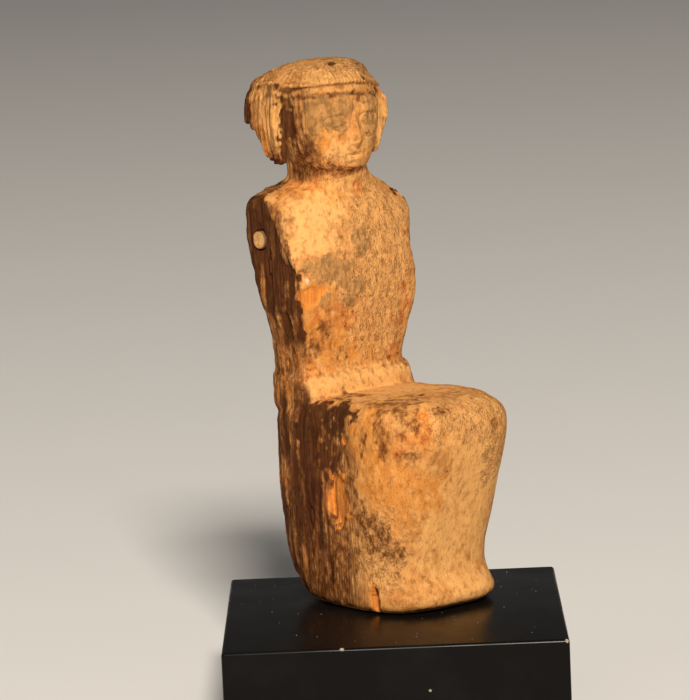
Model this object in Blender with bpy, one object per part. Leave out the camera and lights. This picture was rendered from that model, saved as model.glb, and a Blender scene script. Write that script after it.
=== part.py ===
"""A seated tomb figurine of carved wood, its arms lost, on the black block that it is mounted on.

Units are metres, +Z is up, and the origin is the centre of the block's underside. The block's
front faces -Y. The figurine stands on the block turned towards +X, so that a viewer in front
sees its right side too.
"""

import math

import bmesh
import bpy
from mathutils import Matrix, Vector

# Driving dimensions
FIGURE_HEIGHT = 0.1207
FIGURE_TURN = math.radians(40)
FIGURE_SETBACK = 0.0134
BLOCK_WIDTH = 0.075
BLOCK_DEPTH = 0.075
BLOCK_HEIGHT = 0.025
BLOCK_EDGE = 0.0008
PEG_DIAMETER = 0.004
PEG_LENGTH = 0.009
PEG_PROUD = 0.0005
PEG_EDGE = 0.0004
GAP = 0.0003

# The carving is given in millimetres on a figurine of this height, and scales with its own height
CARVED_HEIGHT = 120.7
UNIT = FIGURE_HEIGHT / CARVED_HEIGHT

BODY_SIDES = 48
HEAD_SIDES = 56
PEG_SIDES = 24
CREASE = math.radians(40)

KNEE_FRONT = 27.8
KNEE_HEIGHT = 40.0
WIG_SIDE = 16.8

# Stations of each form, from the bottom up: the height, then how far the outline reaches to the
# figurine's right, left, front and back of the middle of its foot, and how square its front and
# back corners are: 2 is an ellipse, more is boxier. A front below 0 lies behind the middle
LEGS = (
    (0.0, 15.9, 16.8, 20.4, 14.6, 3.0, 3.0),
    (1.0, 16.9, 17.8, 22.2, 16.8, 3.0, 3.2),
    (3.0, 17.2, 18.0, 22.6, 19.0, 3.1, 3.4),
    (5.5, 17.3, 17.2, 21.4, 20.4, 3.2, 3.6),
    (8.5, 17.4, 17.2, 20.6, 21.3, 3.0, 4.0),
    (13.0, 17.5, 17.5, 20.8, 22.0, 3.0, 4.4),
    (20.0, 17.8, 19.1, 22.3, 22.4, 3.0, 4.6),
    (28.0, 18.0, 19.9, 24.4, 22.6, 3.0, 4.8),
    (35.0, 18.0, 20.4, 26.7, 22.8, 3.0, 4.8),
    (KNEE_HEIGHT, 18.1, 20.5, KNEE_FRONT, 22.8, 3.0, 4.8),
    (43.0, 17.7, 19.8, 27.2, 22.8, 3.0, 4.8),
    (45.0, 16.7, 17.4, 25.2, 22.6, 3.0, 4.6),
    (46.2, 14.8, 15.4, 22.2, 22.2, 3.0, 4.2),
    (46.7, 10.0, 10.6, 15.0, 17.0, 2.6, 3.0),
)
TORSO = (
    (37.0, 14.4, 14.4, -7.6, 20.0, 3.6, 4.0),
    (43.5, 16.5, 16.4, -5.4, 22.2, 3.8, 4.6),
    (47.5, 16.5, 16.2, -5.6, 22.4, 4.0, 4.6),
    (49.6, 16.3, 15.4, -6.5, 22.4, 4.0, 4.6),
    (50.9, 16.1, 15.0, -6.9, 22.4, 3.8, 4.6),
    (52.0, 15.9, 14.7, -7.2, 22.3, 3.8, 4.6),
    (55.5, 16.0, 15.2, -7.2, 22.3, 3.8, 4.6),
    (61.0, 16.6, 17.1, -6.6, 22.7, 4.0, 4.6),
    (66.0, 17.8, 18.5, -6.0, 23.4, 4.4, 4.8),
    (72.0, 19.0, 18.5, -5.7, 24.3, 4.6, 5.0),
    (76.0, 19.8, 18.2, -5.9, 25.0, 4.0, 5.2),
    (80.0, 19.6, 19.4, -6.2, 25.8, 2.8, 5.4),
    (84.0, 19.0, 21.6, -6.8, 26.6, 2.3, 5.4),
    (87.5, 18.8, 21.2, -7.8, 27.0, 2.1, 5.2),
    (90.0, 18.2, 17.6, -9.0, 27.0, 2.0, 4.4),
    (91.6, 15.6, 15.6, -9.8, 26.6, 2.0, 3.2),
    (92.8, 11.6, 13.4, -9.8, 26.4, 2.0, 2.6),
    (94.4, 9.2, 10.8, -9.2, 26.0, 2.0, 2.0),
    (96.0, 8.9, 9.2, -8.6, 26.0, 2.0, 2.0),
    (101.0, 9.2, 9.2, -8.4, 26.0, 2.0, 2.0),
)
FACE = (
    (95.0, 4.4, 4.4, -10.4, 18.0, 2.0, 2.0),
    (95.7, 6.8, 6.8, -8.6, 22.0, 2.1, 2.0),
    (97.4, 8.8, 8.8, -7.6, 25.0, 2.2, 2.0),
    (100.5, 10.4, 10.4, -7.1, 26.0, 2.3, 2.0),
    (105.0, 11.6, 11.6, -6.9, 27.0, 2.5, 2.0),
    (110.0, 12.0, 12.0, -6.9, 27.0, 2.6, 2.0),
    (114.0, 12.0, 12.0, -6.7, 27.0, 2.6, 2.0),
    (116.9, 11.4, 11.4, -7.6, 26.0, 2.6, 2.0),
)
WIG = (
    (96.8, 14.6, 13.6, -9.6, 29.0, 2.3, 2.3),
    (99.4, 15.4, 14.8, -8.4, 31.0, 2.3, 2.3),
    (103.0, 16.2, 16.4, -7.0, 32.6, 2.3, 2.3),
    (107.0, WIG_SIDE, 17.5, -6.0, 33.6, 2.3, 2.3),
    (110.5, WIG_SIDE, 17.5, -5.7, 33.6, 2.2, 2.3),
    (113.6, 16.2, 16.3, -5.9, 33.0, 2.1, 2.3),
    (116.4, 14.6, 14.2, -7.0, 31.2, 2.1, 2.2),
    (118.6, 11.2, 11.2, -9.2, 28.0, 2.0, 2.1),
    (120.0, 7.6, 8.4, -12.0, 24.0, 2.0, 2.0),
    (120.7, 3.6, 4.8, -15.0, 20.4, 2.0, 2.0),
)
# Where each arm was cut to fit, measured from the middle
ARM_CUT_RIGHT = 18.0
ARM_CUT_LEFT = 20.0
# How far the lap climbs from the middle to the knees
LAP_RISE = 1.3
LAP_RISE_START = KNEE_HEIGHT - 2
# The hollow on either side between the seat and the thigh, slanting down and forwards
SIDE_HOLLOW_DEPTH = 2.0
SIDE_HOLLOW_HEIGHT = 41.0
SIDE_HOLLOW_TALL = 15.0
SIDE_HOLLOW_LONG = 8.0
SIDE_HOLLOW_SLANT = 0.4

# The opening of the wig round the face, and the hollow between its side locks and the neck. The
# fringe's edge is arched, and lower on the figurine's left: how far to the left, and how much lower
FRINGE_HEIGHT = 115.8
FRINGE_DROP = ((-22.8, 0.5), (-13.0, 0.5), (-7.0, 0.0), (0.0, 0.0), (7.0, 0.9), (13.0, 2.3), (22.8, 2.3))
LOCK_FRONT = 15.2
LOCK_INSIDE = 12.8
HOLLOW_TOP = 104.5
HOLLOW_FRONT = -7.2
HOLLOW_BACK = 29.0
# The wig's lower edge, seen from the side: how far back each point lies, and its height
HEM = (
    (12.0, 101.6), (13.5, 99.6), (15.5, 98.4), (17.4, 98.2), (19.4, 100.0),
    (20.4, 102.8), (21.8, 105.6), (24.6, 107.2), (38.0, 107.4),
)
HEM_BOTTOM = 93.0

PEG_HEIGHT = 81.5
PEG_BACK = 19.9

# The face is a plain one, worn down to a wedge of a nose, shallow eye hollows and a soft line for a
# mouth. Brow and nose divide it in thirds between the chin and the fringe
CHIN = 95.3
FACE_HEIGHT = FRINGE_HEIGHT - CHIN
BROW = CHIN + FACE_HEIGHT * 2 / 3
EYES = CHIN + FACE_HEIGHT * 0.59
NOSE_FOOT = CHIN + FACE_HEIGHT / 3
MOUTH = CHIN + FACE_HEIGHT * 0.21
NOSE_REACH = 1.9
NOSE_HALF_WIDTH = 2.4
EYE_SPREAD = 4.6
EYE_DEPTH = 0.7
MOUTH_DEPTH = 0.35


def clear_scene():
    for thing in list(bpy.data.objects):
        bpy.data.objects.remove(thing)


def finish(name, colour, roughness):
    """A plain material for one kind of surface."""
    made = bpy.data.materials.new(name)
    made.use_nodes = True
    shader = made.node_tree.nodes["Principled BSDF"]
    shader.inputs["Base Color"].default_value = (*colour, 1)
    shader.inputs["Roughness"].default_value = roughness
    shader.inputs["Metallic"].default_value = 0
    return made


def add_object(name, bm, material, parent=None):
    """The bmesh as a named object with its faces pointing out."""
    bmesh.ops.recalc_face_normals(bm, faces=bm.faces)
    mesh = bpy.data.meshes.new(name)
    bm.to_mesh(mesh)
    bm.free()
    mesh.materials.append(material)
    mesh.shade_smooth()
    mesh.set_sharp_from_angle(angle=CREASE)
    made = bpy.data.objects.new(name, mesh)
    bpy.context.scene.collection.objects.link(made)
    made.parent = parent
    return made


def guide(thing):
    """Marks an object as one that only shapes others."""
    thing.hide_render = True
    thing.display_type = "WIRE"
    return thing


def boolean(thing, other, operation):
    step = thing.modifiers.new(operation.title(), "BOOLEAN")
    step.operation = operation
    step.solver = "EXACT"
    step.object = other


def between(before, start, end, after, share):
    """A smooth curve through four values, read between the middle two."""
    slope_in = (end - before) / 2
    slope_out = (after - start) / 2
    square = share * share
    cube = square * share
    return (
        (2 * cube - 3 * square + 1) * start
        + (cube - 2 * square + share) * slope_in
        + (3 * square - 2 * cube) * end
        + (cube - square) * slope_out
    )


def filled_in(stations, rows):
    """The stations with rows - 1 more between each two, on smooth curves."""
    padded = (stations[0], *stations, stations[-1])
    full = []
    for four in zip(padded, padded[1:], padded[2:], padded[3:]):
        for step in range(rows):
            full.append([between(*values, step / rows) for values in zip(*four)])
    full.append(list(stations[-1]))
    return full


def ring(station, sides):
    """The points of one outline: a rounded rectangle that may differ on each side."""
    height, right, left, front, back, square_front, square_back = station
    middle = (back - front) / 2
    half_depth = (back + front) / 2
    points = []
    for k in range(sides):
        turn = 2 * math.pi * k / sides
        across, along = math.cos(turn), math.sin(turn)
        reach = left if across > 0 else right
        squareness = square_back if along > 0 else square_front
        x = math.copysign(reach * abs(across) ** (2 / squareness), across)
        y = middle + math.copysign(half_depth * abs(along) ** (2 / squareness), along)
        points.append(Vector((x, y, height)))
    return points


def loft(stations, sides, shape=lambda point: point, rows=2):
    """A closed form through the stations, in rows steps from each to the next, moved by shape."""
    bm = bmesh.new()
    rings = []
    for station in filled_in(stations, rows):
        rings.append([bm.verts.new(shape(point) * UNIT) for point in ring(station, sides)])
    for low, high in zip(rings, rings[1:]):
        for k in range(sides):
            after = (k + 1) % sides
            bm.faces.new((low[k], low[after], high[after], high[k]))
    bm.faces.new(reversed(rings[0]))
    bm.faces.new(rings[-1])
    return bm


def bump(distance, reach):
    """1 at no distance, falling smoothly to 0 at reach."""
    share = min(1.0, abs(distance) / reach)
    return (1 - share * share) ** 2


def shape_legs(point):
    """Tilts the top of the legs up towards the knees, and sinks the hollow in either side."""
    share = max(0.0, point.z - LAP_RISE_START) / (LEGS[-1][0] - LAP_RISE_START)
    reach = -point.y / KNEE_FRONT
    below = point.z - SIDE_HOLLOW_HEIGHT
    along = bump(point.y - SIDE_HOLLOW_SLANT * below, SIDE_HOLLOW_LONG)
    sunk = SIDE_HOLLOW_DEPTH * along * bump(below, SIDE_HOLLOW_TALL)
    x = math.copysign(max(0.0, abs(point.x) - sunk), point.x)
    return Vector((x, point.y, point.z + LAP_RISE * reach * share))


def cut_arms(point):
    """Flattens the torso where each arm was cut to fit against it."""
    return Vector((max(-ARM_CUT_RIGHT, min(ARM_CUT_LEFT, point.x)), point.y, point.z))


def carve_face(point):
    """Moves a point of the head's front out for the nose and in for the eyes and mouth."""
    if point.y > LOCK_FRONT:
        return point
    up_nose = (point.z - NOSE_FOOT) / (BROW - NOSE_FOOT)
    out = 0.0
    if 0 <= up_nose <= 1:
        width = NOSE_HALF_WIDTH * (1 - 0.45 * up_nose)
        out += NOSE_REACH * (1 - 0.75 * up_nose) * bump(point.x, width)
    elif -0.12 < up_nose < 0:
        out += NOSE_REACH * (1 + up_nose / 0.12) * bump(point.x, NOSE_HALF_WIDTH)
    for side in (-1, 1):
        out -= EYE_DEPTH * bump(point.x - side * EYE_SPREAD, 4.0) * bump(point.z - EYES, 2.6)
    out -= MOUTH_DEPTH * bump(point.x, 4.0) * bump(point.z - MOUTH, 0.8)
    return Vector((point.x, point.y - out, point.z))


def rod(diameter, start, end, sides, edge=0):
    """A round bar along X, with a bevelled rim at both ends if edge is given."""
    bm = bmesh.new()
    across = Matrix.Translation((start + end) / 2) @ Matrix.Rotation(math.pi / 2, 4, "Y")
    bmesh.ops.create_cone(
        bm, cap_ends=True, segments=sides, radius1=diameter / 2, radius2=diameter / 2,
        depth=abs(end.x - start.x), matrix=across,
    )
    if edge:
        rims = [rim for rim in bm.edges if any(len(face.verts) > 4 for face in rim.link_faces)]
        bmesh.ops.bevel(bm, geom=rims, offset=edge, segments=2, affect="EDGES", profile=0.5)
    return bm


def slab(outline, thickness):
    """The outline given as points, made as thick as the vector says."""
    bm = bmesh.new()
    face = bm.faces.new([bm.verts.new(Vector(point) * UNIT) for point in outline])
    moved = bmesh.ops.extrude_face_region(bm, geom=[face])["geom"]
    moved = [item for item in moved if isinstance(item, bmesh.types.BMVert)]
    bmesh.ops.translate(bm, vec=Vector(thickness) * UNIT, verts=moved)
    return bm


def under_hem():
    """Everything below the wig's lower edge, across the whole width."""
    outline = [(HEM[0][0], HEM_BOTTOM), *HEM, (HEM[-1][0], HEM_BOTTOM)]
    side = WIG_SIDE + 4
    return slab([(-side, y, z) for y, z in outline], (2 * side, 0, 0))


def face_opening():
    """Everything before the side locks and below the fringe."""
    low = HEM_BOTTOM - 2
    first, last = FRINGE_DROP[0][0], FRINGE_DROP[-1][0]
    edge = [(x, FRINGE_HEIGHT - drop) for x, drop in FRINGE_DROP]
    outline = [(first, low), *edge, (last, low)]
    return slab([(x, -30, z) for x, z in outline], (0, 30 + LOCK_FRONT, 0))


def neck_hollow():
    """The space between the side locks and the neck."""
    outline = (LOCK_INSIDE, LOCK_INSIDE, HOLLOW_FRONT, HOLLOW_BACK, 2.2, 2.2)
    return loft([(HEM_BOTTOM, *outline), (HOLLOW_TOP, *outline)], BODY_SIDES, rows=1)


def make_wig(material, place):
    wig = guide(add_object("wig", loft(WIG, HEAD_SIDES), material, place))
    boolean(wig, guide(add_object("face_opening", face_opening(), material, place)), "DIFFERENCE")
    boolean(wig, guide(add_object("under_hem", under_hem(), material, place)), "DIFFERENCE")
    boolean(wig, guide(add_object("neck_hollow", neck_hollow(), material, place)), "DIFFERENCE")
    return wig


def make_figure(wood, place):
    """The figurine, carved as one: legs and seat, torso with neck, head and wig."""
    figure = add_object("figure", loft(LEGS, BODY_SIDES, shape_legs), wood, place)
    torso = guide(add_object("torso", loft(TORSO, BODY_SIDES, cut_arms), wood, place))
    head = guide(add_object("head", loft(FACE, HEAD_SIDES, carve_face, rows=3), wood, place))
    for form in (torso, head, make_wig(wood, place)):
        boolean(figure, form, "UNION")
    return figure


def make_peg(wood, place, figure):
    """The peg left in the right shoulder, in a socket that it clears all round."""
    mouth = Vector((-ARM_CUT_RIGHT, PEG_BACK, PEG_HEIGHT)) * UNIT
    outer = mouth - Vector((PEG_PROUD, 0, 0))
    inner = outer + Vector((PEG_LENGTH, 0, 0))
    start = mouth - Vector((PEG_DIAMETER, 0, 0))
    socket = rod(PEG_DIAMETER + 2 * GAP, start, inner + Vector((GAP, 0, 0)), PEG_SIDES)
    boolean(figure, guide(add_object("peg_socket", socket, wood, place)), "DIFFERENCE")
    add_object("right_shoulder_peg", rod(PEG_DIAMETER, outer, inner, PEG_SIDES, PEG_EDGE), wood, place)


def make_block(black):
    """The mounting block, its edges eased."""
    bm = bmesh.new()
    bmesh.ops.create_cube(bm, size=1)
    size = (BLOCK_WIDTH, BLOCK_DEPTH, BLOCK_HEIGHT)
    lifted = Matrix.LocRotScale((0, 0, BLOCK_HEIGHT / 2), None, size)
    bmesh.ops.transform(bm, matrix=lifted, verts=bm.verts)
    bmesh.ops.bevel(bm, geom=bm.edges[:], offset=BLOCK_EDGE, segments=2, affect="EDGES", profile=0.5)
    add_object("mounting_block", bm, black)


def main():
    clear_scene()
    wood = finish("carved_wood", (0.55, 0.30, 0.13), 0.75)
    pale_wood = finish("peg_wood", (0.68, 0.46, 0.25), 0.7)
    black = finish("black_block", (0.012, 0.011, 0.010), 0.2)
    place = bpy.data.objects.new("figure_place", None)
    bpy.context.scene.collection.objects.link(place)
    place.location = (0, FIGURE_SETBACK, BLOCK_HEIGHT + GAP)
    place.rotation_euler.z = FIGURE_TURN
    figure = make_figure(wood, place)
    make_peg(pale_wood, place, figure)
    make_block(black)


main()
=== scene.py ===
"""The looks of a worn wooden tomb figurine on its black block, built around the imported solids."""

import itertools
import math

import bmesh
import bpy
import numpy as np
from mathutils import Matrix, Vector


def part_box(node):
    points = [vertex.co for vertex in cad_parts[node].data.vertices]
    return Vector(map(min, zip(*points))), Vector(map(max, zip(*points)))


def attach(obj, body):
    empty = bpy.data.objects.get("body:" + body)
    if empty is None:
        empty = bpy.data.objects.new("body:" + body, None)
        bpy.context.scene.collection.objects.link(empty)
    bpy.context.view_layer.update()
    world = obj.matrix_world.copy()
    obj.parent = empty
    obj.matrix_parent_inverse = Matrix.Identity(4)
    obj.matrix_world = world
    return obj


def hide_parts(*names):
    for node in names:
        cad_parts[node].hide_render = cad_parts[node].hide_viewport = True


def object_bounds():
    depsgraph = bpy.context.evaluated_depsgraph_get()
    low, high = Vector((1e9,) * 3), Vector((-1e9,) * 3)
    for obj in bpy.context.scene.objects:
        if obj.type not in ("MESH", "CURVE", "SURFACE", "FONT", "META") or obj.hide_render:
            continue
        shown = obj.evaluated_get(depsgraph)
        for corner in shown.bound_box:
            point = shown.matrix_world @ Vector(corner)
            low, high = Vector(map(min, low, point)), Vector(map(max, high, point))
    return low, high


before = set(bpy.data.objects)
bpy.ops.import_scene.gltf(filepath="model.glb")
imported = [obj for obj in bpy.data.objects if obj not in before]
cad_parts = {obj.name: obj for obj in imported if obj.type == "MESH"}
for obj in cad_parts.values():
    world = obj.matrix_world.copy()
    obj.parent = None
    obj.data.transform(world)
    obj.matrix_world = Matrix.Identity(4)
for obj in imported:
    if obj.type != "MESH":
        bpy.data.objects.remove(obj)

CAD_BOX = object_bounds()

bl_info = {
    "name": "Tomb Figurine",
    "version": (1, 0, 0),
    "blender": (4, 5, 0),
    "location": "3D View > Sidebar > Figurine",
    "description": "A worn wooden tomb figurine with lost arms on a black mounting block",
    "category": "Object",
}

MM = 0.001

# Where the figurine stands, as in the solids: turned on the block and set back from its middle
FIGURE_TURN = math.radians(40)
COS_TURN = math.cos(FIGURE_TURN)
SIN_TURN = math.sin(FIGURE_TURN)
FIGURE_SETBACK = 0.0134
FOOT_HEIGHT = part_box("figure")[0].z
BLOCK_LOW, BLOCK_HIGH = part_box("mounting_block")

# Heights and places on the figurine, in millimetres in its own frame: x to its left, y to its back.
# The noise, the ramps and the bumps of the carving below are in the same millimetres
TOP = 120.7
LOCK_FRONT = 15.2
HAIR_MIDDLE = 19.5
NECK = 96.6
CHIN = 95.3
WAIST = 50.9
LAP = 46.7
ARM_CUT_RIGHT = -18.0
ARM_CUT_LEFT = 20.0
PEG_HEIGHT = 81.5
PEG_BACK = 19.9

# The fringe's edge: its height, and how much lower it is so far to the figurine's left
FRINGE = 115.8
FRINGE_DROP = ((-22.8, 0.5), (-13.0, 0.5), (-7.0, 0.0), (0.0, 0.0), (7.0, 0.9), (13.0, 2.3), (22.8, 2.3))

# Where the chest ends and the dark right side begins: the height, and how far back
SIDE_LINE = (
    (54.0, 11.0), (57.1, 10.3), (60.5, 8.6), (66.4, 7.6), (72.2, 7.2), (75.6, 8.0), (79.9, 11.2),
    (86.4, 15.0), (89.6, 17.1), (91.5, 19.0),
)

# The face: thirds between the chin and the fringe, as in the solids
FACE_HEIGHT = FRINGE - CHIN
BROW = CHIN + FACE_HEIGHT * 2 / 3
EYES = CHIN + FACE_HEIGHT * 0.59
NOSE_FOOT = CHIN + FACE_HEIGHT / 3
MOUTH = CHIN + FACE_HEIGHT * 0.21
EYE_SPREAD = 4.6

# How strongly and how often the solid's form is smoothed away from its crisp edges, and how much
# further the face stands out than its relief says
SMOOTHING = 0.93
SMOOTHING_ROUNDS = 30
FACE_STRENGTH = 1.3

# The peg's even mesh, and how much wider its worn end is to the back and upwards
PEG_MESH_SIZE = 0.00018
PEG_SWELL_BACK = 1.09
PEG_SWELL_UP = 1.07

# Worn and broken places: the middle on the surface, half width, half height, depth, and how much
# deeper the side to the figurine's back is than the front one
GOUGES = (
    ("big chip on the right thigh", (-17.9, -3.2, 25.0), 4.0, 6.7, 1.0, 0.6),
    ("small chip above it", (-17.6, -5.4, 38.8), 1.9, 1.9, 0.5, 0.0),
    ("nick by the right arm", (-16.4, 7.4, 73.9), 1.5, 1.7, 1.0, 0.4),
    ("scuff below the nick", (-14.6, 6.7, 69.4), 2.8, 2.6, 0.3, 0.0),
    ("notch in the foot's edge", (-16.3, -13.1, 2.4), 1.15, 4.8, 1.5, 0.5),
    ("dent in the left shoulder", (17.8, 13.6, 88.4), 1.8, 1.5, 0.7, 0.0),
    ("hole in the knee", (-11.3, -19.6, 46.6), 1.0, 0.9, 0.5, 0.0),
    ("second hole there", (-3.1, -13.4, 47.3), 0.9, 0.7, 0.4, 0.0),
    ("pit on the knee", (-13.0, -23.2, 36.0), 1.5, 1.3, 0.3, 0.0),
    ("pit on the left knee", (5.2, -26.9, 44.0), 1.0, 0.9, 0.35, 0.0),
    ("second pit there", (8.3, -27.2, 40.6), 1.1, 1.0, 0.35, 0.0),
    ("hole in the crown", (-1.6, 12.0, 119.9), 0.7, 0.6, 0.4, 0.0),
    ("scar on the fringe", (5.0, 8.3, 117.0), 0.9, 1.1, 0.4, 0.0),
    ("gap at the lock's foot", (-16.0, 15.6, 99.4), 1.4, 1.4, 0.6, 0.0),
    ("chip at the back of the seat", (6.0, 22.8, 12.0), 2.4, 5.0, 0.6, 0.0),
    ("chip on the left side", (18.9, 4.0, 21.0), 1.8, 4.4, 0.6, 0.0),
)

# Drying cracks along the grain: the middle on the surface, half length and depth
CRACKS = (
    ((-17.0, 15.0, 30.0), 13.0, 0.7),
    ((-17.4, 6.5, 17.0), 8.0, 0.6),
    ((-17.6, 19.0, 20.0), 12.0, 0.6),
    ((-16.4, 12.4, 62.0), 7.0, 0.6),
    ((-18.0, 17.0, 72.0), 8.0, 0.7),
    ((-17.8, 23.0, 84.0), 6.0, 0.6),
    ((3.0, 22.8, 33.0), 17.0, 0.8),
    ((-7.0, 24.6, 72.0), 12.0, 0.7),
    ((9.0, 33.0, 112.0), 5.0, 0.5),
    ((17.5, 12.0, 40.0), 9.0, 0.5),
    ((19.8, 18.0, 76.0), 7.0, 0.5),
)

# For each kind of patch, how ragged and how soft its rim is, and how far it stands proud. A kind's
# place in this list sets its noise
KINDS = {
    "bare": {"ragged": 0.2, "soft": 0.05, "proud": -0.2},
    "ochre": {"ragged": 0.42, "soft": 0.3, "proud": 0.0},
    "red": {"ragged": 0.46, "soft": 0.16, "proud": 0.0},
    "crust": {"ragged": 0.34, "soft": 0.05, "proud": 0.22},
    "speckled": {"ragged": 0.4, "soft": 0.3, "proud": 0.0},
    "pale": {"ragged": 0.4, "soft": 0.26, "proud": 0.0},
    "brown": {"ragged": 0.42, "soft": 0.3, "proud": -0.03},
    "dark": {"ragged": 0.5, "soft": 0.3, "proud": 0.0},
    "chalk": {"ragged": 0.1, "soft": 0.1, "proud": 0.0},
}

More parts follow.
